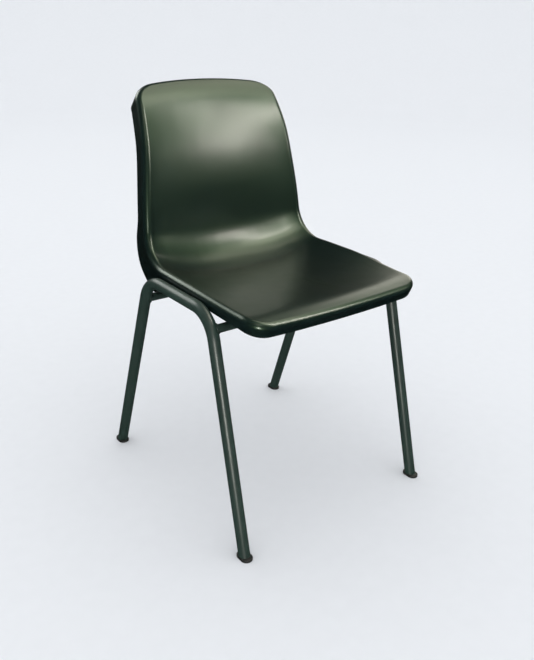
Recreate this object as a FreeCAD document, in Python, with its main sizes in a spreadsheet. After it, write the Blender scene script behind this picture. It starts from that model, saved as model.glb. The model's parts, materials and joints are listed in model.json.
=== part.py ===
import FreeCAD
import Part
import Sketcher
import math
import os
from FreeCAD import Placement, Rotation, Vector

# Moulded stacking chair on a welded tube frame, in millimetres.
# The floor is z = 0, the sitter faces -Y, and +X is the sitter's left.

doc = FreeCAD.newDocument("chair")
sheet = doc.addObject("Spreadsheet::Sheet", "sizes")

SIZES = [
    # side frames
    ("tube_outer", 22.0),
    ("tube_wall", 1.5),
    ("rail_height", 435.0),
    ("rail_overlap", 1.0),
    ("foot_spread", 6.2),
    ("foot_reach", 241.0),
    ("front_splay", 14.9),
    ("rear_splay", 19.3),
    ("bend_radius", 60.0),
    # cross tubes
    ("bar_outer", 16.0),
    ("bar_wall", 1.5),
    ("front_bar_drop", 28.0),
    ("rear_bar_drop", 45.0),
    ("weld_gap", 0.3),
    # side view of the shell, from the front lip to the top of the back
    ("rim_rise", 21.8),
    ("lip_reach", 233.0),
    ("lip_radius", 90.0),
    ("lip_turn", 30.0),
    ("seat_slope", 4.0),
    ("back_reach", 152.3),
    ("heel_radius", 92.0),
    ("back_lean", 5.0),
    ("lumbar_run", 126.0),
    ("back_radius", 400.0),
    ("back_turn", 15.0),
    ("crown_radius", 85.0),
    ("crown_turn", 42.0),
    # half width of the seat, and how far the rest of the shell stands in from it
    ("seat_half", 204.0),
    ("front_inset", 6.0),
    ("heel_inset", 3.5),
    ("waist_inset", 11.5),
    ("shoulder_inset", 28.0),
    ("top_inset", 42.0),
    # hollow of the sitting surface, measured at the rim
    ("lip_hollow", 3.0),
    ("seat_hollow", 26.0),
    ("heel_hollow", 36.0),
    ("lumbar_hollow", 33.0),
    ("shoulder_hollow", 21.0),
    # outline and rolled rim
    ("front_corner", 40.0),
    ("top_corner", 43.0),
    ("front_bow", 4.0),
    ("top_bow", 20.0),
    ("rim_radius", 10.0),
    ("wall", 4.5),
    ("skirt_lean", 8.0),
    ("front_skirt", 27.0),
    ("corner_skirt", 24.0),
    ("side_skirt", 23.0),
    ("heel_skirt", 67.0),
    ("back_skirt", 37.5),
    ("shoulder_skirt", 42.0),
    ("top_skirt", 31.0),
    # fixings
    ("front_fix_inset", 64.0),
    ("rear_fix_inset", 94.0),
    ("pillar_outer", 24.0),
    ("rib_thickness", 3.0),
    ("rib_reach", 8.0),
    ("saddle_depth", 5.0),
    ("seat_gap", 0.3),
    ("screw_outer", 6.0),
    ("screw_length", 30.0),
    ("screw_gap", 0.6),
    ("thread_gap", 0.2),
    ("head_outer", 12.0),
    ("head_depth", 4.0),
    ("key_size", 4.0),
    ("washer_outer", 16.0),
    ("washer_depth", 3.0),
    ("insert_outer", 8.6),
    ("insert_length", 12.0),
    ("insert_inset", 2.0),
    ("fit_gap", 0.1),
    # feet
    ("foot_length", 34.0),
    ("foot_width", 23.0),
    ("foot_depth", 5.0),
    ("foot_round", 1.5),
    ("plug_length", 26.0),
    ("plug_gap", 0.15),
]
DERIVED = [
    ("tube_radius", "=tube_outer / 2"),
    ("bore_radius", "=tube_outer / 2 - tube_wall"),
    ("cope_radius", "=tube_outer / 2 + weld_gap"),
    ("rail_half", "=seat_half + tube_outer / 2 - rail_overlap"),
    ("foot_half", "=rail_half + foot_spread"),
    ("front_half", "=seat_half - front_inset"),
    ("heel_half", "=seat_half - heel_inset"),
    ("waist_half", "=seat_half - waist_inset"),
    ("shoulder_half", "=seat_half - shoulder_inset"),
    ("top_half", "=seat_half - top_inset"),
    ("seat_level", "=rail_height + rim_rise - seat_hollow"),
    ("front_fix_half", "=rail_half - front_fix_inset"),
    ("rear_fix_half", "=rail_half - rear_fix_inset"),
    ("front_bar_height", "=rail_height - front_bar_drop"),
    ("rear_bar_height", "=rail_height - rear_bar_drop"),
    ("front_rise", "=90 - front_splay"),
    ("rear_rise", "=90 + rear_splay"),
    ("bar_radius", "=bar_outer / 2"),
    ("bar_bore", "=bar_outer / 2 - bar_wall"),
    ("saddle_radius", "=bar_outer / 2 + seat_gap"),
    ("pillar_radius", "=pillar_outer / 2"),
    ("rib_half", "=pillar_outer / 2 + rib_reach"),
    ("pillar_height", "=heel_radius"),
    ("cover_half", "=2 * rib_half + pillar_height"),
    ("screw_radius", "=screw_outer / 2"),
    ("screw_tip", "=screw_outer / 2 - 1"),
    ("screw_shank", "=screw_length - 1"),
    ("screw_hole", "=screw_outer / 2 + screw_gap / 2"),
    ("head_radius", "=head_outer / 2"),
    ("washer_radius", "=washer_outer / 2"),
    ("washer_height", "=washer_depth + bar_outer / 2"),
    ("insert_radius", "=insert_outer / 2"),
    ("insert_waist", "=insert_outer / 2 - 0.5"),
    ("insert_bore", "=screw_outer / 2 + thread_gap / 2"),
    ("insert_low", "=insert_length * 0.35"),
    ("insert_high", "=insert_length * 0.65"),
    ("pocket_radius", "=insert_outer / 2 + fit_gap / 2"),
    ("pocket_depth", "=insert_inset + insert_length + 1"),
    ("foot_end_radius", "=foot_width / 2"),
    ("foot_end_reach", "=foot_length / 2 - foot_width / 2"),
    ("plug_radius", "=tube_outer / 2 - tube_wall - plug_gap"),
]
for row, (alias, value) in enumerate(SIZES, start=1):
    sheet.set("A%d" % row, alias)
    sheet.set("B%d" % row, "%g" % value)
    sheet.setAlias("B%d" % row, alias)
for row, (alias, formula) in enumerate(DERIVED, start=len(SIZES) + 1):
    sheet.set("A%d" % row, alias)
    sheet.set("B%d" % row, formula)
    sheet.setAlias("B%d" % row, alias)
doc.recompute()


def size(alias):
    return float(sheet.get(alias))


# Places that several pieces share
side_lean = math.atan2(size("foot_spread"), size("rail_height"))
front_tan = math.tan(math.radians(size("front_splay")))
rear_tan = math.tan(math.radians(size("rear_splay")))
ENDS = [("front", -1), ("rear", 1)]
SIDES = [("left", 1), ("right", -1)]


def leg_axis(splay, height):
    """Distance of a leg's axis behind its foot at a height, bend included."""
    bend = size("bend_radius")
    high = size("rail_height")
    lead = math.radians(90 - splay)
    slope = math.tan(math.radians(splay))
    centre = high * slope + bend * math.tan(lead / 2)
    above = height - (high - bend)
    if above < bend * math.cos(lead):
        return height * slope
    return centre - math.sqrt(bend * bend - above * above)


BARS = {
    "front": Vector(0, leg_axis(size("front_splay"), size("front_bar_height")) - size("foot_reach"),
                    size("front_bar_height")),
    "rear": Vector(0, size("foot_reach") - leg_axis(size("rear_splay"), size("rear_bar_height")),
                   size("rear_bar_height")),
}


# Sitting surface: a side view of lines and arcs, hollowed across its width

seat_slope = math.radians(size("seat_slope"))
lip_heading = math.radians(size("lip_turn")) - seat_slope
lip_depth = size("lip_radius") * (math.sin(lip_heading) + math.sin(seat_slope))
lip_rise = size("lip_radius") * (math.cos(seat_slope) - math.cos(lip_heading))
lip_ahead = size("lip_reach") - lip_depth
lip_height = size("seat_level") + lip_ahead * math.tan(seat_slope) - lip_rise


def side_view():
    """Runs of the side view as (length, turn in radians), front lip first."""
    def arc(radius, degrees):
        turn = math.radians(degrees)
        return radius * abs(turn), turn

    heel_turn = 90.0 - size("back_lean") + size("seat_slope")
    heel_cut = size("heel_radius") * math.tan(math.radians(heel_turn / 2))
    seat_run = (lip_ahead + size("back_reach")) / math.cos(seat_slope) - heel_cut
    return [
        arc(size("lip_radius"), -size("lip_turn")),
        (seat_run, 0.0),
        arc(size("heel_radius"), heel_turn),
        (size("lumbar_run"), 0.0),
        arc(size("back_radius"), -size("back_turn")),
        arc(size("crown_radius"), -size("crown_turn")),
    ]


RUNS = side_view()
LENGTH = sum(length for length, turn in RUNS)


def centre_line(distance):
    """Point (y, z) and heading of the side view at a distance from the lip."""
    y = -size("lip_reach")
    z = lip_height
    heading = lip_heading
    for number, (length, turn) in enumerate(RUNS):
        last = number == len(RUNS) - 1
        step = distance if last else min(distance, length)
        if step < 0 and number > 0:
            break
        bend = turn * step / length
        chord = step if abs(bend) < 1e-9 else step * math.sin(bend / 2) / (bend / 2)
        y += chord * math.cos(heading + bend / 2)
        z += chord * math.sin(heading + bend / 2)
        heading += bend
        distance -= step
        if distance <= 0 and not last:
            break
    return y, z, heading


def blend(stations, place):
    """Smooth value between (place, value) stations, with no overshoot."""
    place = min(max(place, stations[0][0]), stations[-1][0])
    slopes = []
    for here in range(len(stations)):
        if here in (0, len(stations) - 1):
            slopes.append(0.0)
            continue
        before = stations[here][1] - stations[here - 1][1]
        before /= stations[here][0] - stations[here - 1][0]
        after = stations[here + 1][1] - stations[here][1]
        after /= stations[here + 1][0] - stations[here][0]
        slopes.append(0.0 if before * after <= 0 else 2 * before * after / (before + after))
    for here in range(len(stations) - 1):
        start, end = stations[here][0], stations[here + 1][0]
        if place <= end:
            break
    run = end - start
    part = (place - start) / run
    first, second = stations[here][1], stations[here + 1][1]
    ease = part * part * (3 - 2 * part)
    lift = part * (1 - part) * run
    lift *= slopes[here] * (1 - part) - slopes[here + 1] * part
    return first + (second - first) * ease + lift


WIDTHS = [
    (0.0, size("front_half")),
    (0.26, size("seat_half")),
    (0.46, size("heel_half")),
    (0.63, size("waist_half")),
    (0.82, size("shoulder_half")),
    (1.0, size("top_half")),
]
HOLLOWS = [
    (0.0, size("lip_hollow")),
    (0.28, size("seat_hollow")),
    (0.48, size("heel_hollow")),
    (0.64, size("lumbar_hollow")),
    (0.82, size("shoulder_hollow")),
    (1.0, 0.0),
]
SKIRTS = [
    (0.0, size("front_skirt")),
    (0.07, size("corner_skirt")),
    (0.20, size("side_skirt")),
    (0.35, size("side_skirt")),
    (0.46, size("heel_skirt")),
    (0.515, size("heel_skirt")),
    (0.64, size("back_skirt")),
    (0.78, size("back_skirt")),
    (0.92, size("shoulder_skirt")),
    (0.97, size("shoulder_skirt")),
    (1.0, size("top_skirt")),
]


HOLLOW_POWER = 2.2


def half_width(distance):
    return blend(WIDTHS, distance / LENGTH)


def sitting_point(distance, across):
    y, z, heading = centre_line(distance)
    share = abs(across) / half_width(distance)
    rise = blend(HOLLOWS, distance / LENGTH) * share ** HOLLOW_POWER
    return Vector(across, y - rise * math.sin(heading), z + rise * math.cos(heading))


ROWS = 48
COLUMNS = 15
MARGIN = 1.02


def sitting_grid():
    grid = []
    for row in range(ROWS + 1):
        distance = LENGTH * row / ROWS
        line = []
        for column in range(COLUMNS):
            share = MARGIN * (2.0 * column / (COLUMNS - 1) - 1.0)
            line.append(sitting_point(distance, share * half_width(distance)))
        grid.append(line)
    return grid


def row_curve(points, first, last):
    """Evenly paced curve through a row of points, with its end directions."""
    count = len(points)
    pace = sum((end - start).Length for start, end in zip(points, points[1:]))
    curve = Part.BSplineCurve()
    curve.interpolate(
        Points=points,
        Parameters=[here / (count - 1) for here in range(count)],
        InitialTangent=first * pace,
        FinalTangent=last * pace,
        Scale=False,
    )
    return curve


def through(rows, first=None, last=None):
    """Surface through rows of points."""
    curves = []
    for row in rows:
        start = first or (row[1] - row[0]).normalize()
        end = last or (row[-1] - row[-2]).normalize()
        curves.append(row_curve(row, start, end))
    surface = Part.BSplineSurface()
    surface.buildFromNSections(curves)
    return surface


def offset_grid(surface, grid, depth):
    """The same grid sunk by a depth behind the sitting surface."""
    sunk = []
    for line in grid:
        row = []
        for point in line:
            u, v = surface.parameter(point)
            row.append(point - facing(surface, u, v) * depth)
        sunk.append(row)
    return sunk


def facing(surface, u, v):
    """Unit normal on the sitter's side: up on the seat and forward on the back."""
    normal = surface.normal(u, v)
    if normal.z - normal.y < 0:
        normal = normal * -1
    return normal


# Outline of the shell, laid out flat as (distance from lip, across) for x >= 0

def rounded_outline():
    front = size("front_corner")
    top = size("top_corner")
    side = LENGTH - front - top
    flat = []
    for step in range(40):
        flat.append((0.0, (half_width(0) - front) * step / 40))
    for step in range(40):
        angle = math.pi / 2 * step / 40
        along = front * (1 - math.cos(angle))
        flat.append((along, half_width(along) - front * (1 - math.sin(angle))))
    for step in range(200):
        along = front + side * step / 200
        flat.append((along, half_width(along)))
    for step in range(40):
        angle = math.pi / 2 * step / 40
        along = LENGTH - top * (1 - math.sin(angle))
        flat.append((along, half_width(along) - top * (1 - math.cos(angle))))
    for step in range(41):
        flat.append((LENGTH, (half_width(LENGTH) - top) * (1 - step / 40)))
    return flat


def bowed(along, across):
    """Shift of the outline where the lip and the top edge are bowed."""
    share = across / half_width(along)
    near_lip = max(0.0, 1 - along / (2.5 * size("front_corner"))) ** 2
    near_top = max(0.0, 1 - (LENGTH - along) / (2.5 * size("top_corner"))) ** 2
    return share ** 2 * (near_lip * size("front_bow") - near_top * size("top_bow"))


OUTLINE_POINTS = 110


def outline():
    """Evenly spaced points of the outline from the lip to the top edge."""
    flat = [(along + bowed(along, across), across) for along, across in rounded_outline()]
    reached = [0.0]
    for start, end in zip(flat, flat[1:]):
        reached.append(reached[-1] + math.hypot(end[0] - start[0], end[1] - start[1]))
    even = []
    here = 0
    for step in range(OUTLINE_POINTS + 1):
        target = reached[-1] * step / OUTLINE_POINTS
        while here < len(flat) - 2 and reached[here + 1] < target:
            here += 1
        share = (target - reached[here]) / (reached[here + 1] - reached[here])
        start, end = flat[here], flat[here + 1]
        even.append(tuple(first + (second - first) * share for first, second in zip(start, end)))
    return even


def outward(flat, here):
    """Outward direction of the flat outline at one of its points."""
    if here == 0:
        return -1.0, 0.0
    if here == len(flat) - 1:
        return 1.0, 0.0
    along = flat[here + 1][0] - flat[here - 1][0]
    across = flat[here + 1][1] - flat[here - 1][1]
    length = math.hypot(along, across)
    return -across / length, along / length


def rim_stations(surface):
    """At each outline point: base of the roll, facing, outward, last angle, fall."""
    flat = outline()
    radius = size("rim_radius")
    lean = math.radians(size("skirt_lean"))
    stations = []
    for here, (along, across) in enumerate(flat):
        out_along, out_across = outward(flat, here)
        flare = HOLLOW_POWER * blend(HOLLOWS, along / LENGTH) / half_width(along)
        inset = radius * (1 + math.sin(math.atan(flare)) * abs(out_across))
        inner = (along - inset * out_along, max(0.0, across - inset * out_across))
        u, v = surface.parameter(sitting_point(*inner))
        base = surface.value(u, v)
        normal = facing(surface, u, v)
        further = (inner[0] + out_along, inner[1] + out_across)
        away = sitting_point(*further) - sitting_point(*inner)
        away = away - normal * away.dot(normal)
        if here in (0, len(flat) - 1):
            base.x = 0.0
            normal.x = 0.0
            away.x = 0.0
            normal.normalize()
        away.normalize()
        heading = centre_line(inner[0])[2]
        draw = Vector(0, -math.sin(heading), math.cos(heading))
        tilt = math.atan2(draw.dot(away), draw.dot(normal))
        fall = blend(SKIRTS, along / LENGTH) - radius * (1 + math.sin(lean))
        stations.append((base, normal, away, math.pi / 2 + tilt + lean, fall / math.cos(lean)))
    return stations


ROLL_STEPS = 4


def roll_rows(stations, sunk):
    """Rows of points over the rolled rim, sunk below its outer skin."""
    radius = size("rim_radius")
    rows = []
    for step in range(ROLL_STEPS + 1):
        row = []
        for base, normal, away, last, fall in stations:
            angle = last * step / ROLL_STEPS
            spoke = away * math.sin(angle) + normal * math.cos(angle)
            row.append(base - normal * radius + spoke * (radius - sunk))
        rows.append(row)
    return rows


def skirt_edge(stations, sunk):
    """Lower edge of the skirt, sunk below its outer skin."""
    radius = size("rim_radius")
    edge = []
    for base, normal, away, last, fall in stations:
        spoke = away * math.sin(last) + normal * math.cos(last)
        down = away * math.cos(last) - normal * math.sin(last)
        edge.append(base - normal * radius + spoke * (radius - sunk) + down * fall)
    return edge


ACROSS = Vector(1, 0, 0)


def mirrored(shape):
    return shape.mirror(Vector(0, 0, 0), ACROSS)


def panel(surface, edge):
    """The part of a surface inside the closed loop of an edge and its mirror."""
    face = Part.Face(surface, Part.Wire([edge, mirrored(edge)]))
    face.validate()
    return face


def strip(start, end):
    """Straight band between two curves that run the same way."""
    surface = Part.BSplineSurface()
    surface.buildFromNSections([start, end])
    return surface.toShape()


def shell_skin():
    grid = sitting_grid()
    upper = through(grid)
    lower = through(offset_grid(upper, grid, size("wall")))
    stations = rim_stations(upper)
    halves = []
    panels = []
    edges = []
    for surface, sunk in ((upper, 0.0), (lower, size("wall"))):
        roll = through(roll_rows(stations, sunk), ACROSS, ACROSS * -1)
        edge = row_curve(skirt_edge(stations, sunk), ACROSS, ACROSS * -1)
        panels.append(panel(surface, roll.vIso(0).toShape()))
        halves.append(roll.toShape())
        halves.append(strip(roll.vIso(1), edge))
        edges.append(edge)
    halves.append(strip(edges[0], edges[1]))
    faces = panels + halves + [mirrored(half) for half in halves]
    sewn = Part.Compound(faces)
    sewn.sewShape(0.02)
    solid = Part.Solid(sewn.Shells[0])
    if solid.Volume < 0:
        solid.reverse()
    return solid


def inside_wall(x, y):
    """Point inside the seat's wall over a place on the floor, and its facing."""
    low, high = 0.0, LENGTH * 0.6
    for step in range(40):
        distance = (low + high) / 2
        if sitting_point(distance, x).y < y:
            low = distance
        else:
            high = distance
    here = sitting_point(distance, x)
    along = sitting_point(distance + 1, x) - here
    across = sitting_point(distance, x + 1) - here
    normal = across.cross(along).normalize()
    return here - normal * size("wall") / 3, normal


# Small helpers for parametric objects

def add(kind, name, place=None, **bound):
    made = doc.addObject(kind, name)
    for prop, formula in bound.items():
        made.setExpression(prop, formula)
    if place is not None:
        made.Placement = place
    return made


def cut(name, base, tool):
    made = doc.addObject("Part::Cut", name)
    made.Base = base
    made.Tool = tool
    return made


def fuse(name, shapes):
    made = doc.addObject("Part::MultiFuse", name)
    made.Shapes = shapes
    return made


def solid_feature(name, shape):
    made = doc.addObject("Part::Feature", name)
    made.Shape = shape
    return made


def upright(x, y, z):
    return Placement(Vector(x, y, z), Rotation())


def along_x(start):
    return Placement(start, Rotation(Vector(0, 1, 0), 90))


nodes = {}


# Seat shell: skin, four ribbed fixing pillars, saddles and pockets

skin = solid_feature("shell_skin", shell_skin())
posts = []
pockets = []
for end, way in ENDS:
    bar = BARS[end]
    saddle = add("Part::Cylinder", end + "_saddle", along_x(bar - ACROSS * size("seat_half")),
                 Radius="sizes.saddle_radius", Height="2 * sizes.seat_half")
    pockets.append(saddle)
    for side, hand in SIDES:
        name = "%s_%s" % (end, side)
        x = hand * size(end + "_fix_half")
        low = bar.z + size("bar_radius") - size("saddle_depth")
        pillar = add("Part::Cylinder", name + "_pillar",
                     Placement(Vector(x, bar.y, low), Rotation(Vector(0, 0, 1), 45)),
                     Radius="sizes.pillar_radius", Height="sizes.pillar_height")
        crown = bar.z + size("saddle_radius")
        reach = size("rib_half")
        thick = size("rib_thickness")
        wide = add("Part::Box", name + "_wide_rib", upright(x - reach, bar.y - thick / 2, crown),
                   Length="2 * sizes.rib_half", Width="sizes.rib_thickness",
                   Height="sizes.pillar_height")
        deep = add("Part::Box", name + "_deep_rib", upright(x - thick / 2, bar.y - reach, crown),
                   Length="sizes.rib_thickness", Width="2 * sizes.rib_half",
                   Height="sizes.pillar_height")
        middle, normal = inside_wall(x, bar.y)
        turn = Rotation(Vector(0, 0, 1), normal)
        spread = size("cover_half")
        corner = middle - turn.multVec(Vector(spread, spread, 0))
        cover = add("Part::Box", name + "_cover", Placement(corner, turn),
                    Length="2 * sizes.cover_half", Width="2 * sizes.cover_half",
                    Height="2 * sizes.pillar_height")
        for part in (pillar, wide, deep):
            posts.append(cut(part.Name + "_trimmed", part, cover))
        pockets.append(add("Part::Cylinder", name + "_pocket", upright(x, bar.y, bar.z),
                           Radius="sizes.pocket_radius",
                           Height="sizes.saddle_radius + sizes.pocket_depth"))
moulding = fuse("moulding", [skin] + posts)
nodes["seat_shell"] = cut("seat_shell", moulding, fuse("moulded_pockets", pockets))


# Side frames: one bent tube each, mitred level above the feet

def frame_path(side, hand):
    """Centre line of a side frame in its own leaning plane."""
    path = doc.addObject("Sketcher::SketchObject", side + "_path")
    up = Vector(-hand * math.sin(side_lean), 0, math.cos(side_lean))
    along = Vector(0, 1, 0)
    path.Placement = Placement(Vector(hand * size("foot_half"), 0, 0),
                               Rotation(along, up, along.cross(up), "XYZ"))
    reach = size("foot_reach")
    high = size("rail_height")
    bend = size("bend_radius")
    lead = math.radians(size("front_rise"))
    trail = math.radians(size("rear_rise"))
    front_top = Vector(high / math.tan(lead) - reach, high, 0)
    rear_top = Vector(reach + high / math.tan(trail), high, 0)
    front_cut = bend * math.tan(lead / 2)
    rear_cut = bend * math.tan((math.pi - trail) / 2)
    front_end = front_top - Vector(math.cos(lead), math.sin(lead), 0) * front_cut
    rear_end = rear_top - Vector(math.cos(trail), math.sin(trail), 0) * rear_cut
    front_centre = Vector(front_top.x + front_cut, high - bend, 0)
    rear_centre = Vector(rear_top.x - rear_cut, high - bend, 0)
    turn = Vector(0, 0, 1)
    path.addGeometry(Part.LineSegment(Vector(-reach, 0, 0), front_end))
    path.addGeometry(Part.ArcOfCircle(Part.Circle(front_centre, turn, bend),
                                      math.pi / 2, math.pi / 2 + lead))
    path.addGeometry(Part.LineSegment(Vector(front_centre.x, high, 0),
                                      Vector(rear_centre.x, high, 0)))
    path.addGeometry(Part.ArcOfCircle(Part.Circle(rear_centre, turn, bend),
                                      trail - math.pi / 2, math.pi / 2))
    path.addGeometry(Part.LineSegment(Vector(reach, 0, 0), rear_end))
    path.addConstraint(Sketcher.Constraint("Tangent", 0, 2, 1, 2))
    path.addConstraint(Sketcher.Constraint("Tangent", 1, 1, 2, 1))
    path.addConstraint(Sketcher.Constraint("Tangent", 2, 2, 3, 2))
    path.addConstraint(Sketcher.Constraint("Tangent", 3, 1, 4, 2))
    path.addConstraint(Sketcher.Constraint("Horizontal", 2))
    path.addConstraint(Sketcher.Constraint("PointOnObject", 0, 1, -1))
    path.addConstraint(Sketcher.Constraint("PointOnObject", 4, 1, -1))
    path.addConstraint(Sketcher.Constraint("Equal", 1, 3))
    drive(path, "front_reach", "foot_reach", "DistanceX", 0, 1, -1, 1)
    drive(path, "rear_reach", "foot_reach", "DistanceX", -1, 1, 4, 1)
    drive(path, "rail_height", "rail_height", "DistanceY", -1, 1, 2, 1)
    drive(path, "bend_radius", "bend_radius", "Radius", 1)
    drive(path, "front_rise", "front_rise", "Angle", 0)
    drive(path, "rear_rise", "rear_rise", "Angle", 4)
    return path


def drive(sketch, name, alias, kind, *places):
    """A dimension of a sketch that follows one cell of the sheet."""
    value = size(alias)
    if kind == "Angle":
        value = math.radians(value)
    number = sketch.addConstraint(Sketcher.Constraint(kind, *places, value))
    sketch.renameConstraint(number, name)
    sketch.setExpression("Constraints." + name, "sizes." + alias)


def sweep(name, path, radius):
    """Round rod of one radius along a frame's centre line."""
    lead = math.radians(size("front_rise"))
    start = path.Placement.multVec(Vector(-size("foot_reach"), 0, 0))
    heading = path.Placement.Rotation.multVec(Vector(math.cos(lead), math.sin(lead), 0))
    ring = add("Part::Circle", name + "_ring",
               Placement(start, Rotation(Vector(0, 0, 1), heading)), Radius="sizes." + radius)
    made = doc.addObject("Part::Sweep", name)
    made.Sections = [ring]
    made.Spine = (path, ["Edge1", "Edge2", "Edge3", "Edge4", "Edge5"])
    made.Solid = True
    return made


floor = add("Part::Box", "foot_level", upright(-2 * size("foot_half"), -2 * size("foot_reach"), 0),
            Length="4 * sizes.foot_half", Width="4 * sizes.foot_reach", Height="sizes.foot_depth")
ground = add("Part::Box", "ground",
             upright(-2 * size("foot_half"), -2 * size("foot_reach"), -size("tube_outer")),
             Length="4 * sizes.foot_half", Width="4 * sizes.foot_reach", Height="sizes.tube_outer")
below = fuse("below_tubes", [floor, ground])
copes = []
for side, hand in SIDES:
    path = frame_path(side, hand)
    doc.recompute()
    rod = sweep(side + "_rod", path, "tube_radius")
    bore = sweep(side + "_bore", path, "bore_radius")
    copes.append(sweep(side + "_cope", path, "cope_radius"))
    tube = cut(side + "_tube", rod, bore)
    nodes[side + "_side_frame"] = cut(side + "_side_frame", tube, below)


# Cross tubes: coped to the side frames and drilled for the screws

for end, way in ENDS:
    bar = BARS[end]
    start = bar - ACROSS * size("rail_half")
    rod = add("Part::Cylinder", end + "_bar_rod", along_x(start),
              Radius="sizes.bar_radius", Height="2 * sizes.rail_half")
    tools = [add("Part::Cylinder", end + "_bar_bore", along_x(start),
                 Radius="sizes.bar_bore", Height="2 * sizes.rail_half")]
    for side, hand in SIDES:
        place = upright(hand * size(end + "_fix_half"), bar.y, bar.z - size("bar_outer"))
        tools.append(add("Part::Cylinder", "%s_%s_hole" % (end, side), place,
                         Radius="sizes.screw_hole", Height="2 * sizes.bar_outer"))
    drilled = cut(end + "_bar_drilled", rod, fuse(end + "_bar_tools", tools))
    nodes[end + "_cross_tube"] = cut(end + "_cross_tube", drilled, fuse(end + "_copes", copes))


# Bodies with sketches: screws, inserts and feet

def body_at(name, place):
    body = doc.addObject("PartDesign::Body", name)
    body.Placement = place
    return body


def origin_part(body, role):
    return [part for part in body.Origin.OriginFeatures if part.Role == role][0]


def sketch_on(body, name, role, offset=None):
    sketch = body.newObject("Sketcher::SketchObject", name)
    sketch.AttachmentSupport = [(origin_part(body, role), "")]
    sketch.MapMode = "FlatFace"
    if offset is not None:
        sketch.AttachmentOffset = offset
    return sketch


def signed(spec):
    """Value of a coordinate given as an alias, with a minus sign if it is negative."""
    if spec == "0":
        return 0.0
    return -size(spec[1:]) if spec.startswith("-") else size(spec)


def pin(sketch, corner, axis, spec):
    """Tie one coordinate of a corner to a cell, or to the axis where it is zero."""
    if spec == "0":
        sketch.addConstraint(Sketcher.Constraint("PointOnObject", corner, 1, -2 if axis == "X" else -1))
        return
    name = "%s%d" % ("across" if axis == "X" else "along", corner)
    if spec.startswith("-"):
        drive(sketch, name, spec[1:], "Distance" + axis, corner, 1, -1, 1)
    else:
        drive(sketch, name, spec, "Distance" + axis, -1, 1, corner, 1)


def closed_profile(sketch, corners):
    """Closed outline of straight edges with every corner tied to the sheet."""
    points = [Vector(signed(x), signed(y), 0) for x, y in corners]
    for here, point in enumerate(points):
        sketch.addGeometry(Part.LineSegment(point, points[(here + 1) % len(points)]))
    for here in range(len(points)):
        following = (here + 1) % len(points)
        sketch.addConstraint(Sketcher.Constraint("Coincident", here, 2, following, 1))
    for here, (x, y) in enumerate(corners):
        pin(sketch, here, "X", x)
        pin(sketch, here, "Y", y)


def revolve(body, name, corners):
    sketch = sketch_on(body, name + "_profile", "XZ_Plane")
    closed_profile(sketch, corners)
    turned = body.newObject("PartDesign::Revolution", name)
    turned.Profile = sketch
    turned.ReferenceAxis = (sketch, ["V_Axis"])
    turned.Angle = 360
    doc.recompute()
    return turned


def screw(name, place):
    """Button-head screw, point up, with the underside of its head at z = 0."""
    body = body_at(name, place)
    revolve(body, name + "_turned", [
        ("0", "-head_depth"),
        ("head_radius", "-head_depth"),
        ("head_radius", "0"),
        ("screw_radius", "0"),
        ("screw_radius", "screw_shank"),
        ("screw_tip", "screw_length"),
        ("0", "screw_length"),
    ])
    solid = body.Tip
    rims = []
    for number, edge in enumerate(solid.Shape.Edges, start=1):
        box = edge.BoundBox
        level = abs(box.ZMax + size("head_depth")) < 1e-6
        if level and abs(box.XMax - size("head_radius")) < 1e-6:
            rims.append("Edge%d" % number)
    domed = body.newObject("PartDesign::Fillet", name + "_domed")
    domed.Base = (solid, rims)
    domed.setExpression("Radius", "sizes.head_depth * 0.6")
    doc.recompute()
    key = sketch_on(body, name + "_key", "XY_Plane",
                    upright(0, 0, -size("head_depth")))
    reach = size("key_size") / math.sqrt(3)
    spokes = [Vector(reach * math.cos(math.radians(60 * turn)),
                     reach * math.sin(math.radians(60 * turn)), 0) for turn in range(6)]
    for here in range(6):
        key.addGeometry(Part.LineSegment(spokes[here], spokes[(here + 1) % 6]))
    socket = body.newObject("PartDesign::Pocket", name + "_socket")
    socket.Profile = key
    socket.setExpression("Length", "sizes.head_depth * 0.6")
    socket.Reversed = True
    doc.recompute()
    if socket.Shape.Volume >= domed.Shape.Volume - 1e-3:
        socket.Reversed = False
        doc.recompute()
    return body


def insert(name, place):
    """Threaded insert with two collars, its lower end at z = 0."""
    body = body_at(name, place)
    revolve(body, name + "_turned", [
        ("insert_bore", "0"),
        ("insert_radius", "0"),
        ("insert_radius", "insert_low"),
        ("insert_waist", "insert_low"),
        ("insert_waist", "insert_high"),
        ("insert_radius", "insert_high"),
        ("insert_radius", "insert_length"),
        ("insert_bore", "insert_length"),
    ])
    return body


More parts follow.
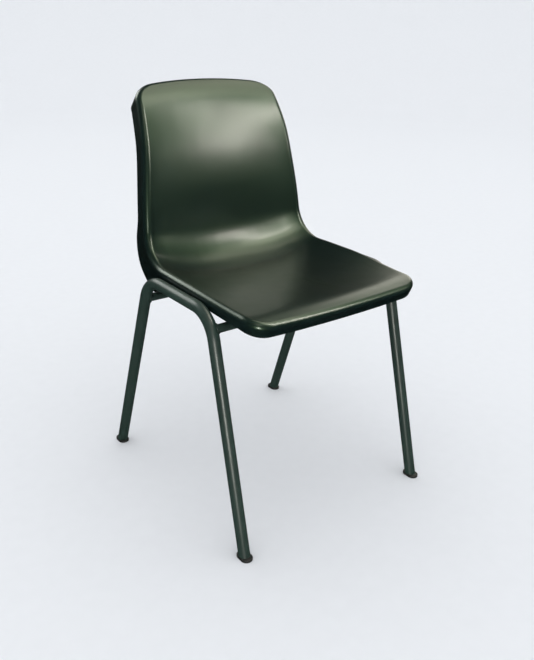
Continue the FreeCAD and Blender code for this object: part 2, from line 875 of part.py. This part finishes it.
def foot(name, place, lean):
    """Oval pad flat on the floor, with a plug up the leg's bore."""
    body = body_at(name, place)
    pad_sketch = sketch_on(body, name + "_oval", "XY_Plane")
    radius = size("foot_end_radius")
    reach = size("foot_end_reach")
    up = Vector(0, 0, 1)
    pad_sketch.addGeometry(Part.ArcOfCircle(Part.Circle(Vector(0, reach, 0), up, radius), 0, math.pi))
    pad_sketch.addGeometry(Part.LineSegment(Vector(-radius, reach, 0), Vector(-radius, -reach, 0)))
    pad_sketch.addGeometry(Part.ArcOfCircle(Part.Circle(Vector(0, -reach, 0), up, radius),
                                            math.pi, 2 * math.pi))
    pad_sketch.addGeometry(Part.LineSegment(Vector(radius, -reach, 0), Vector(radius, reach, 0)))
    pad_sketch.addConstraint(Sketcher.Constraint("Tangent", 0, 2, 1, 1))
    pad_sketch.addConstraint(Sketcher.Constraint("Tangent", 1, 2, 2, 1))
    pad_sketch.addConstraint(Sketcher.Constraint("Tangent", 2, 2, 3, 1))
    pad_sketch.addConstraint(Sketcher.Constraint("Tangent", 3, 2, 0, 1))
    pad_sketch.addConstraint(Sketcher.Constraint("PointOnObject", 0, 3, -2))
    pad_sketch.addConstraint(Sketcher.Constraint("PointOnObject", 2, 3, -2))
    drive(pad_sketch, "far_end", "foot_end_reach", "DistanceY", -1, 1, 0, 3)
    drive(pad_sketch, "near_end", "foot_end_reach", "DistanceY", 2, 3, -1, 1)
    drive(pad_sketch, "end_radius", "foot_end_radius", "Radius", 0)
    pad = body.newObject("PartDesign::Pad", name + "_pad")
    pad.Profile = pad_sketch
    pad.setExpression("Length", "sizes.foot_depth")
    doc.recompute()
    rims = ["Edge%d" % number for number, edge in enumerate(pad.Shape.Edges, start=1)
            if edge.BoundBox.ZMin > size("foot_depth") - 1e-6]
    rounded = body.newObject("PartDesign::Fillet", name + "_rounded")
    rounded.Base = (pad, rims)
    rounded.setExpression("Radius", "sizes.foot_round")
    doc.recompute()
    plug_sketch = sketch_on(body, name + "_ring", "XY_Plane", Placement(Vector(), lean))
    plug_sketch.addGeometry(Part.Circle(Vector(), up, size("plug_radius")))
    plug_sketch.addConstraint(Sketcher.Constraint("Coincident", 0, 3, -1, 1))
    drive(plug_sketch, "plug_radius", "plug_radius", "Radius", 0)
    plug = body.newObject("PartDesign::Pad", name + "_plug")
    plug.Profile = plug_sketch
    plug.setExpression("Length", "sizes.plug_length")
    doc.recompute()
    level = sketch_on(body, name + "_level", "XY_Plane")
    half = size("foot_length")
    corners = [Vector(-half, -half, 0), Vector(half, -half, 0), Vector(half, half, 0), Vector(-half, half, 0)]
    for here in range(4):
        level.addGeometry(Part.LineSegment(corners[here], corners[(here + 1) % 4]))
    trim = body.newObject("PartDesign::Pocket", name + "_trim")
    trim.Profile = level
    trim.setExpression("Length", "sizes.tube_outer")
    doc.recompute()
    if trim.Shape.isNull() or trim.Shape.BoundBox.ZMax < size("foot_depth"):
        trim.Reversed = True
        doc.recompute()
    return body


for end, way in ENDS:
    bar = BARS[end]
    splay = front_tan if way < 0 else rear_tan
    for side, hand in SIDES:
        name = "%s_%s" % (end, side)
        x = hand * size(end + "_fix_half")
        seat = bar.z - size("bar_radius") - size("washer_depth")
        nodes[name + "_screw"] = screw(name + "_screw", upright(x, bar.y, seat))
        disc = add("Part::Cylinder", name + "_disc", upright(x, bar.y, seat),
                   Radius="sizes.washer_radius", Height="sizes.washer_height")
        hole = add("Part::Cylinder", name + "_disc_hole", upright(x, bar.y, seat),
                   Radius="sizes.screw_hole", Height="sizes.washer_height")
        hollow = add("Part::Cylinder", name + "_disc_hollow",
                     along_x(Vector(x - size("washer_outer"), bar.y, bar.z)),
                     Radius="sizes.bar_radius", Height="2 * sizes.washer_outer")
        nodes[name + "_washer"] = cut(name + "_washer", disc, fuse(name + "_washer_tools", [hole, hollow]))
        lift = bar.z + size("saddle_radius") + size("insert_inset")
        nodes[name + "_insert"] = insert(name + "_insert", upright(x, bar.y, lift))
        leg = Vector(-hand * math.tan(side_lean), -way * splay, 1)
        spot = upright(hand * size("foot_half"), way * size("foot_reach"), 0)
        nodes[name + "_foot"] = foot(name + "_foot", spot, Rotation(Vector(0, 0, 1), leg))

doc.recompute()

for made in doc.Objects:
    if "Invalid" in made.State or "Error" in made.State:
        raise RuntimeError("%s did not build" % made.Name)
os.makedirs("parts", exist_ok=True)
for node, made in nodes.items():
    made.Label = node
    shape = made.Shape
    if shape.isNull() or not shape.isValid() or len(shape.Solids) != 1:
        raise RuntimeError("%s is not one valid solid" % node)
    shape.exportStep("parts/%s.step" % node)
    print(node, len(shape.Solids), round(shape.Volume), shape.BoundBox)
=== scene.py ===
import json
import math

import bpy
from mathutils import Matrix, Vector
from mathutils.bvhtree import BVHTree


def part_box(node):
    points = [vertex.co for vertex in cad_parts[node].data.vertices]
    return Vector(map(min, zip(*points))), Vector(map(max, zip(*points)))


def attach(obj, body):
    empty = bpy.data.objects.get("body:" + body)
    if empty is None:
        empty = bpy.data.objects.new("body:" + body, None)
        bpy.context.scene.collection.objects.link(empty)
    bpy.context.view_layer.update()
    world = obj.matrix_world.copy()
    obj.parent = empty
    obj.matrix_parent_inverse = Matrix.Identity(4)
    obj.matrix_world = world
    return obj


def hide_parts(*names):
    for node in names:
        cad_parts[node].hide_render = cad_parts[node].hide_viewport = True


# Moulded chair on a welded tube frame, in metres.
# The sitter faces -Y, +X is the sitter's left and the floor is z = 0.

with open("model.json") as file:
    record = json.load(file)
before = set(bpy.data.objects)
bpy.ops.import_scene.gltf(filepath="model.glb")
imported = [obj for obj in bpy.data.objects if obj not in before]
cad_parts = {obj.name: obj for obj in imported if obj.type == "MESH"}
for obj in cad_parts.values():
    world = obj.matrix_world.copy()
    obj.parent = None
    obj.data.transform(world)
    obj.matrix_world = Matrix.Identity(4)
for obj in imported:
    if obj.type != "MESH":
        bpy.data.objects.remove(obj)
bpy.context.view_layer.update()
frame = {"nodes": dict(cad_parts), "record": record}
nodes = frame["nodes"]

SIDES = [("left", 1), ("right", -1)]
ENDS = ["front", "rear"]


# Shared helpers

def add_object(name, data):
    """A new object in the scene."""
    piece = bpy.data.objects.new(name, data)
    bpy.context.scene.collection.objects.link(piece)
    return piece


def direction(azimuth, elevation):
    """Unit vector turned from -Y towards +X and raised above the floor, in radians."""
    level = math.cos(elevation)
    return Vector((math.sin(azimuth) * level, -math.cos(azimuth) * level, math.sin(elevation)))


# Material helpers

# Range that holds most of the values of a noise
NOISE_LOW = 0.3
NOISE_HIGH = 0.7
CELL_SMOOTHNESS = 0.6


class Paint:
    """A procedural material with one Principled shader and a bump chain."""

    def __init__(self, name):
        self.material = bpy.data.materials.new(name)
        self.material.use_nodes = True
        self.tree = self.material.node_tree
        self.shader = self.tree.nodes["Principled BSDF"]
        self.place = self.tree.nodes.new("ShaderNodeTexCoord").outputs["Object"]
        self.bumped = None

    def add(self, kind, **values):
        node = self.tree.nodes.new(kind)
        for name, value in values.items():
            setattr(node, name, value)
        return node

    def link(self, source, target):
        self.tree.links.new(source, target)

    def stretched(self, scale):
        """Object coordinates stretched by a scale along each axis."""
        mapping = self.add("ShaderNodeMapping")
        mapping.inputs["Scale"].default_value = scale
        self.link(self.place, mapping.inputs["Vector"])
        return mapping.outputs["Vector"]

    def noise(self, scale, detail=2.0, rough=0.5, place=None):
        node = self.add("ShaderNodeTexNoise")
        node.inputs["Scale"].default_value = scale
        node.inputs["Detail"].default_value = detail
        node.inputs["Roughness"].default_value = rough
        self.link(place or self.place, node.inputs["Vector"])
        return node.outputs["Fac"]

    def cells(self, scale):
        node = self.add("ShaderNodeTexVoronoi", feature="SMOOTH_F1")
        node.inputs["Scale"].default_value = scale
        node.inputs["Smoothness"].default_value = CELL_SMOOTHNESS
        self.link(self.place, node.inputs["Vector"])
        return node.outputs["Distance"]

    def span(self, value, low, high, to_low=0.0, to_high=1.0):
        """A value moved from one range to another, and held inside it."""
        node = self.add("ShaderNodeMapRange", clamp=True)
        self.link(value, node.inputs["Value"])
        node.inputs["From Min"].default_value = low
        node.inputs["From Max"].default_value = high
        node.inputs["To Min"].default_value = to_low
        node.inputs["To Max"].default_value = to_high
        return node.outputs["Result"]

    def patches(self, noise, to_low=0.0, to_high=1.0):
        """A noise spread over a whole range."""
        return self.span(noise, NOISE_LOW, NOISE_HIGH, to_low, to_high)

    def math(self, kind, first, second):
        node = self.add("ShaderNodeMath", operation=kind)
        for socket, value in zip(node.inputs, (first, second)):
            if isinstance(value, float):
                socket.default_value = value
            else:
                self.link(value, socket)
        return node.outputs["Value"]

    def axis(self, name):
        split = self.add("ShaderNodeSeparateXYZ")
        self.link(self.place, split.inputs["Vector"])
        return split.outputs[name]

    def mix(self, share, first, second):
        """Colour between two colours, each given or taken from a node."""
        node = self.add("ShaderNodeMix", data_type="RGBA")
        self.link(share, node.inputs["Factor"])
        sockets = [socket for socket in node.inputs if socket.type == "RGBA"]
        for socket, colour in zip(sockets, (first, second)):
            if isinstance(colour, tuple):
                socket.default_value = colour + (1.0,)
            else:
                self.link(colour, socket)
        return [socket for socket in node.outputs if socket.type == "RGBA"][0]

    def bump(self, height, strength, distance):
        """A further layer of bumps over those already there."""
        node = self.add("ShaderNodeBump")
        node.inputs["Strength"].default_value = strength
        node.inputs["Distance"].default_value = distance
        self.link(height, node.inputs["Height"])
        if self.bumped is not None:
            self.link(self.bumped, node.inputs["Normal"])
        self.bumped = node.outputs["Normal"]
        self.link(self.bumped, self.shader.inputs["Normal"])

    def set(self, **values):
        for name, value in values.items():
            self.shader.inputs[name.replace("_", " ")].default_value = value

    def drive(self, name, value):
        self.link(value, self.shader.inputs[name])


# Materials

def shell_plastic():
    """Green-black conductive plastic with a fine moulded grain and rubbed places."""
    deep = (0.0042, 0.0120, 0.0135)
    pale = (0.0064, 0.0155, 0.0165)
    rubbed = (0.014, 0.018, 0.014)
    rubbed_share = 0.35
    rubbed_roughness = 0.10
    scuff_stretch = (1.0, 0.16, 0.5)
    green_sheen = (0.48, 1.0, 0.42, 1.0)

    paint = Paint("shell_plastic")
    cloud = paint.span(paint.noise(scale=5.0, detail=3.0), low=0.35, high=0.65)
    colour = paint.mix(cloud, deep, pale)
    scuff_lines = paint.noise(scale=26.0, detail=5.0, rough=0.62, place=paint.stretched(scuff_stretch))
    scuffs = paint.span(scuff_lines, low=0.62, high=0.80)
    colour = paint.mix(paint.math("MULTIPLY", scuffs, rubbed_share), colour, rubbed)
    paint.drive("Base Color", colour)
    patches = paint.patches(paint.noise(scale=11.0, detail=3.0), to_low=0.38, to_high=0.45)
    duller = paint.math("MULTIPLY", scuffs, rubbed_roughness)
    paint.drive("Roughness", paint.math("ADD", patches, duller))
    paint.set(Specular_IOR_Level=0.26, Specular_Tint=green_sheen)
    paint.set(Coat_Weight=0.6, Coat_IOR=1.5, Coat_Roughness=0.25)
    paint.bump(paint.cells(scale=760.0), strength=0.16, distance=0.00012)
    paint.bump(paint.noise(scale=2100.0), strength=0.10, distance=0.00005)
    paint.bump(paint.noise(scale=24.0), strength=0.03, distance=0.0012)
    paint.link(paint.bumped, paint.shader.inputs["Coat Normal"])
    return paint.material


def frame_paint():
    """Green-black stove enamel with orange peel, and chips low on the legs."""
    deep = (0.0240, 0.0480, 0.0370)
    pale = (0.0320, 0.0600, 0.0460)
    primer = (0.11, 0.11, 0.10)
    primer_share = 0.6
    chip_roughness = 0.10
    chip_foot = 0.015
    chip_top = 0.11

    paint = Paint("frame_paint")
    cloud = paint.patches(paint.noise(scale=14.0, detail=3.0))
    colour = paint.mix(cloud, deep, pale)
    near_floor = paint.span(paint.axis("Z"), chip_foot, chip_top, to_low=1.0, to_high=0.0)
    chips = paint.span(paint.noise(scale=190.0, detail=4.0, rough=0.6), low=0.66, high=0.70)
    worn = paint.math("MULTIPLY", chips, near_floor)
    colour = paint.mix(paint.math("MULTIPLY", worn, primer_share), colour, primer)
    paint.drive("Base Color", colour)
    smears = paint.patches(paint.noise(scale=32.0, detail=4.0), to_low=0.32, to_high=0.42)
    duller = paint.math("MULTIPLY", worn, chip_roughness)
    paint.drive("Roughness", paint.math("ADD", smears, duller))
    paint.set(Specular_IOR_Level=0.5)
    paint.bump(paint.noise(scale=420.0), strength=0.10, distance=0.00010)
    paint.bump(paint.noise(scale=60.0), strength=0.06, distance=0.00030)
    return paint.material


def fixing_steel():
    """Bright zinc plate with fine turning marks and dull patches."""
    dull = (0.46, 0.46, 0.45)
    bright = (0.60, 0.60, 0.57)
    marks_stretch = (0.2, 0.2, 3.0)

    paint = Paint("fixing_steel")
    paint.drive("Base Color", paint.mix(paint.noise(scale=160.0, detail=3.0), dull, bright))
    patches = paint.patches(paint.noise(scale=300.0, detail=3.0), to_low=0.24, to_high=0.42)
    paint.drive("Roughness", patches)
    paint.set(Metallic=1.0)
    marks = paint.noise(scale=900.0, place=paint.stretched(marks_stretch))
    paint.bump(marks, strength=0.15, distance=0.00004)
    return paint.material


def insert_brass():
    """Turned brass with fine rings."""
    dull = (0.60, 0.40, 0.15)
    bright = (0.74, 0.54, 0.24)
    rings_stretch = (0.1, 0.1, 3.0)

    paint = Paint("insert_brass")
    paint.drive("Base Color", paint.mix(paint.noise(scale=180.0, detail=3.0), dull, bright))
    paint.drive("Roughness", paint.patches(paint.noise(scale=420.0), to_low=0.22, to_high=0.38))
    paint.set(Metallic=1.0)
    rings = paint.noise(scale=1200.0, place=paint.stretched(rings_stretch))
    paint.bump(rings, strength=0.2, distance=0.00004)
    return paint.material


def foot_rubber():
    """Black conductive rubber, dusty along the floor."""
    black = (0.010, 0.0125, 0.011)
    dusty = (0.07, 0.068, 0.06)
    dust_foot = 0.0005
    dust_top = 0.005

    paint = Paint("foot_rubber")
    dust_cloud = paint.span(paint.noise(scale=210.0, detail=4.0, rough=0.6), low=0.45, high=0.70)
    near_floor = paint.span(paint.axis("Z"), dust_foot, dust_top, to_low=0.8, to_high=0.1)
    dust = paint.math("MULTIPLY", dust_cloud, near_floor)
    paint.drive("Base Color", paint.mix(dust, black, dusty))
    patches = paint.patches(paint.noise(scale=90.0, detail=3.0), to_low=0.50, to_high=0.68)
    paint.drive("Roughness", patches)
    paint.set(Specular_IOR_Level=0.4)
    paint.bump(paint.noise(scale=1500.0), strength=0.25, distance=0.00006)
    return paint.material


MATERIALS = {
    "shell_plastic": shell_plastic(),
    "frame_paint": frame_paint(),
    "fixing_steel": fixing_steel(),
    "insert_brass": insert_brass(),
    "foot_rubber": foot_rubber(),
}
SLOTS = {part["node"]: part["material_slot"] for part in frame["record"]["subparts"]}


def dress(piece, slot):
    piece.data.materials.clear()
    piece.data.materials.append(MATERIALS[slot])


for name, node in nodes.items():
    dress(node, SLOTS[name])


# Shell with its middle pressed forward a little at the small of the back

PRESS_DEPTH = 0.009
PRESS_HALF = 0.178
# Heights between which the press sets in, and between which it fades again
PRESS_FOOT = (0.422, 0.506)
PRESS_TOP = (0.570, 0.720)
# Places along Y between which it sets in, which keep it off the seat
PRESS_FRONT = (0.030, 0.090)
# Powers that keep the press level across the middle and soften its sides
PRESS_LEVEL = 4
PRESS_SOFTNESS = 1.5
# Step for the slope of the press
NUDGE = 0.0001


def ease(value, low, high):
    """A smooth step from 0 at the low value to 1 at the high one."""
    part = min(max((value - low) / (high - low), 0.0), 1.0)
    return part * part * (3 - 2 * part)


def press(place):
    """How far forward the shell is pressed at a place."""
    share = max(0.0, 1 - (place.x / PRESS_HALF) ** PRESS_LEVEL)
    rise = ease(place.z, *PRESS_FOOT) - ease(place.z, *PRESS_TOP)
    return PRESS_DEPTH * share ** PRESS_SOFTNESS * rise * ease(place.y, *PRESS_FRONT)


def press_slope(place):
    """How the press changes along each axis at a place."""
    steps = [Vector((NUDGE, 0, 0)), Vector((0, NUDGE, 0)), Vector((0, 0, NUDGE))]
    return Vector([(press(place + step) - press(place - step)) / (2 * NUDGE) for step in steps])


def pressed_shell():
    """A copy of the shell's mesh with the press in it, and its normals turned to suit."""
    mesh = nodes["seat_shell"].data.copy()
    mesh.name = "moulded_shell"
    slopes = [press_slope(vertex.co) for vertex in mesh.vertices]
    normals = []
    for corner, loop in zip(mesh.corner_normals, mesh.loops):
        slope = slopes[loop.vertex_index]
        normals.append((corner.vector + slope * corner.vector.y / (1 - slope.y)).normalized())
    for vertex in mesh.vertices:
        vertex.co.y -= press(vertex.co)
    mesh.normals_split_custom_set(normals)
    mesh.update()
    shell = add_object(mesh.name, mesh)
    dress(shell, "shell_plastic")
    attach(shell, "root")
    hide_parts("seat_shell")


pressed_shell()


# Weld beads where the cross tubes meet the side frames

BEAD_STEPS = 96
BEAD_SIDES = 10
BEAD_RADIUS = 0.0021
# Shares of the bead's radius: how far it stands off the tube, how high and how wide it is
BEAD_STAND_OFF = 0.2
BEAD_HEIGHT = 0.85
BEAD_WIDTH = 1.15
RIPPLES = 17
RIPPLE_DEPTH = 0.10


def bead_path(end, side, hand):
    """Points and outward directions along the joint of a cross tube and a frame."""
    low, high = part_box(end + "_cross_tube")
    middle = (low + high) / 2
    radius = (high.y - low.y) / 2
    tree = BVHTree.FromObject(nodes[side + "_side_frame"], bpy.context.evaluated_depsgraph_get())
    towards_frame = Vector((hand, 0, 0))
    path = []
    for step in range(BEAD_STEPS):
        angle = 2 * math.pi * step / BEAD_STEPS
        spoke = Vector((0, math.cos(angle), math.sin(angle)))
        start = Vector((0, middle.y, middle.z)) + spoke * (radius + BEAD_STAND_OFF * BEAD_RADIUS)
        hit = tree.ray_cast(start, towards_frame)
        path.append((hit[0], (spoke - towards_frame).normalized()))
    return path


def weld_bead(end, side, hand):
    """A rippled ring of weld round one end of a cross tube."""
    path = bead_path(end, side, hand)
    points = []
    faces = []
    for step, (centre, outward) in enumerate(path):
        ahead = path[(step + 1) % BEAD_STEPS][0] - path[step - 1][0]
        across = ahead.normalized().cross(outward).normalized()
        swell = 1 + RIPPLE_DEPTH * math.sin(RIPPLES * 2 * math.pi * step / BEAD_STEPS)
        for turn in range(BEAD_SIDES):
            angle = 2 * math.pi * turn / BEAD_SIDES
            spoke = outward * math.cos(angle) * BEAD_HEIGHT + across * math.sin(angle) * BEAD_WIDTH
            points.append(centre + spoke * BEAD_RADIUS * swell)
    for step in range(BEAD_STEPS):
        here = step * BEAD_SIDES
        ahead = (step + 1) % BEAD_STEPS * BEAD_SIDES
        for turn in range(BEAD_SIDES):
            beside = (turn + 1) % BEAD_SIDES
            faces.append((here + turn, here + beside, ahead + beside, ahead + turn))
    mesh = bpy.data.meshes.new("weld_%s_%s" % (end, side))
    mesh.from_pydata(points, [], faces)
    mesh.shade_smooth()
    mesh.update()
    bead = add_object(mesh.name, mesh)
    dress(bead, "frame_paint")
    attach(bead, "root")


for end in ENDS:
    for side, hand in SIDES:
        weld_bead(end, side, hand)


# Camera at the photograph's viewing angle

CAMERA_PLACE = Vector((-0.8115, -1.0486, 0.8900))
AZIMUTH = math.radians(-37.93)
PITCH = math.radians(23.717)
ROLL = math.radians(1.45)
IMAGE_HEIGHT = 660.0
FOCAL_PIXELS = 703.41
SENSOR_HEIGHT = 24.0


def add_camera():
    data = bpy.data.cameras.new("camera")
    data.sensor_fit = "VERTICAL"
    data.sensor_height = SENSOR_HEIGHT
    data.lens = FOCAL_PIXELS / IMAGE_HEIGHT * SENSOR_HEIGHT
    camera = add_object("camera", data)
    back = direction(AZIMUTH, PITCH)
    right = Vector((math.cos(AZIMUTH), math.sin(AZIMUTH), 0))
    up = back.cross(right)
    across = right * math.cos(ROLL) + up * math.sin(ROLL)
    rise = up * math.cos(ROLL) - right * math.sin(ROLL)
    turn = Matrix((across, rise, back)).transposed().to_4x4()
    camera.matrix_world = Matrix.Translation(CAMERA_PLACE) @ turn
    bpy.context.scene.camera = camera


add_camera()


# Stage: a pale floor that curves up into a backdrop all round

FLAT_REACH = 6.0
SWEEP_RADIUS = 3.0
WALL_HEIGHT = 3.0
FLAT_RINGS = 8
SWEEP_RINGS = 12
FLOOR_TURNS = 72


def floor_profile():
    """Reach and height of each ring of the floor, from the middle outwards."""
    rings = []
    for step in range(1, FLAT_RINGS + 1):
        rings.append((FLAT_REACH * step / FLAT_RINGS, 0.0))
    for step in range(1, SWEEP_RINGS + 1):
        angle = math.pi / 2 * step / SWEEP_RINGS
        reach = FLAT_REACH + SWEEP_RADIUS * math.sin(angle)
        rings.append((reach, SWEEP_RADIUS * (1 - math.cos(angle))))
    rings.append((FLAT_REACH + SWEEP_RADIUS, SWEEP_RADIUS + WALL_HEIGHT))
    return rings


def floor_paper():
    """Matt pale paper with a faint speckle."""
    shade = (0.805, 0.815, 0.83)
    pale = (0.835, 0.845, 0.86)
    paint = Paint("floor_paper")
    paint.drive("Base Color", paint.mix(paint.noise(scale=35.0, detail=3.0), shade, pale))
    paint.set(Roughness=0.95, Specular_IOR_Level=0.0)
    return paint.material


def add_floor():
    """The floor, left out of reflections so that only the lamps show in the plastic."""
    rings = floor_profile()
    points = [(0.0, 0.0, 0.0)]
    faces = []
    for reach, height in rings:
        for turn in range(FLOOR_TURNS):
            angle = 2 * math.pi * turn / FLOOR_TURNS
            points.append((reach * math.cos(angle), reach * math.sin(angle), height))
    for turn in range(FLOOR_TURNS):
        faces.append((0, 1 + turn, 1 + (turn + 1) % FLOOR_TURNS))
    for ring in range(len(rings) - 1):
        here = 1 + ring * FLOOR_TURNS
        beyond = here + FLOOR_TURNS
        for turn in range(FLOOR_TURNS):
            beside = (turn + 1) % FLOOR_TURNS
            faces.append((here + turn, beyond + turn, beyond + beside, here + beside))
    mesh = bpy.data.meshes.new("floor")
    mesh.from_pydata(points, [], faces)
    mesh.shade_smooth()
    mesh.materials.append(floor_paper())
    floor = add_object("floor", mesh)
    floor.visible_glossy = False


add_floor()


# Soft studio light

SKY_COLOUR = (0.965, 0.98, 1.0, 1.0)
SKY_STRENGTH = 1.22


def softbox(name, aim, azimuth, elevation, distance, width, height, power, colour):
    """A rectangular lamp that faces a point from a direction in degrees, for reflections only."""
    away = direction(math.radians(azimuth), math.radians(elevation))
    data = bpy.data.lights.new(name, "AREA")
    data.shape = "RECTANGLE"
    data.size = width
    data.size_y = height
    data.energy = power
    data.color = colour
    lamp = add_object(name, data)
    lamp.location = Vector(aim) + away * distance
    lamp.rotation_euler = away.to_track_quat("Z", "Y").to_euler()
    lamp.visible_camera = False
    lamp.visible_diffuse = False


def add_sky():
    """Even light from all round, left out of reflections."""
    world = bpy.data.worlds.new("studio")
    world.use_nodes = True
    background = world.node_tree.nodes["Background"]
    background.inputs["Color"].default_value = SKY_COLOUR
    background.inputs["Strength"].default_value = SKY_STRENGTH
    world.cycles_visibility.glossy = False
    bpy.context.scene.world = world


softbox("key", aim=(0.0, 0.17, 0.66), azimuth=32.0, elevation=28.0, distance=1.6,
        width=0.15, height=1.12, power=21.5, colour=(1.0, 0.91, 0.86))
softbox("top", aim=(0.0, 0.10, 0.50), azimuth=40.0, elevation=56.0, distance=2.3,
        width=0.7, height=0.8, power=13.0, colour=(1.0, 0.96, 0.80))
softbox("overhead", aim=(0.0, 0.10, 0.45), azimuth=82.0, elevation=62.0, distance=2.3,
        width=1.4, height=0.9, power=14.0, colour=(1.0, 0.97, 0.78))
softbox("side", aim=(0.0, 0.10, 0.46), azimuth=109.0, elevation=22.0, distance=2.3,
        width=1.0, height=1.5, power=14.5, colour=(1.0, 0.95, 0.84))
softbox("front", aim=(0.0, 0.0, 0.50), azimuth=-22.0, elevation=45.0, distance=2.3,
        width=0.9, height=1.6, power=9.0, colour=(1.0, 0.95, 0.82))
softbox("rear", aim=(0.0, 0.10, 0.50), azimuth=-160.0, elevation=34.0, distance=2.4,
        width=1.6, height=1.4, power=34.0, colour=(0.98, 1.0, 0.96))
softbox("fill", aim=(-0.20, -0.19, 0.27), azimuth=-31.0, elevation=0.0, distance=1.2,
        width=0.12, height=0.5, power=12.0, colour=(1.0, 1.0, 0.92))
add_sky()
bpy.context.scene.view_settings.view_transform = "Standard"
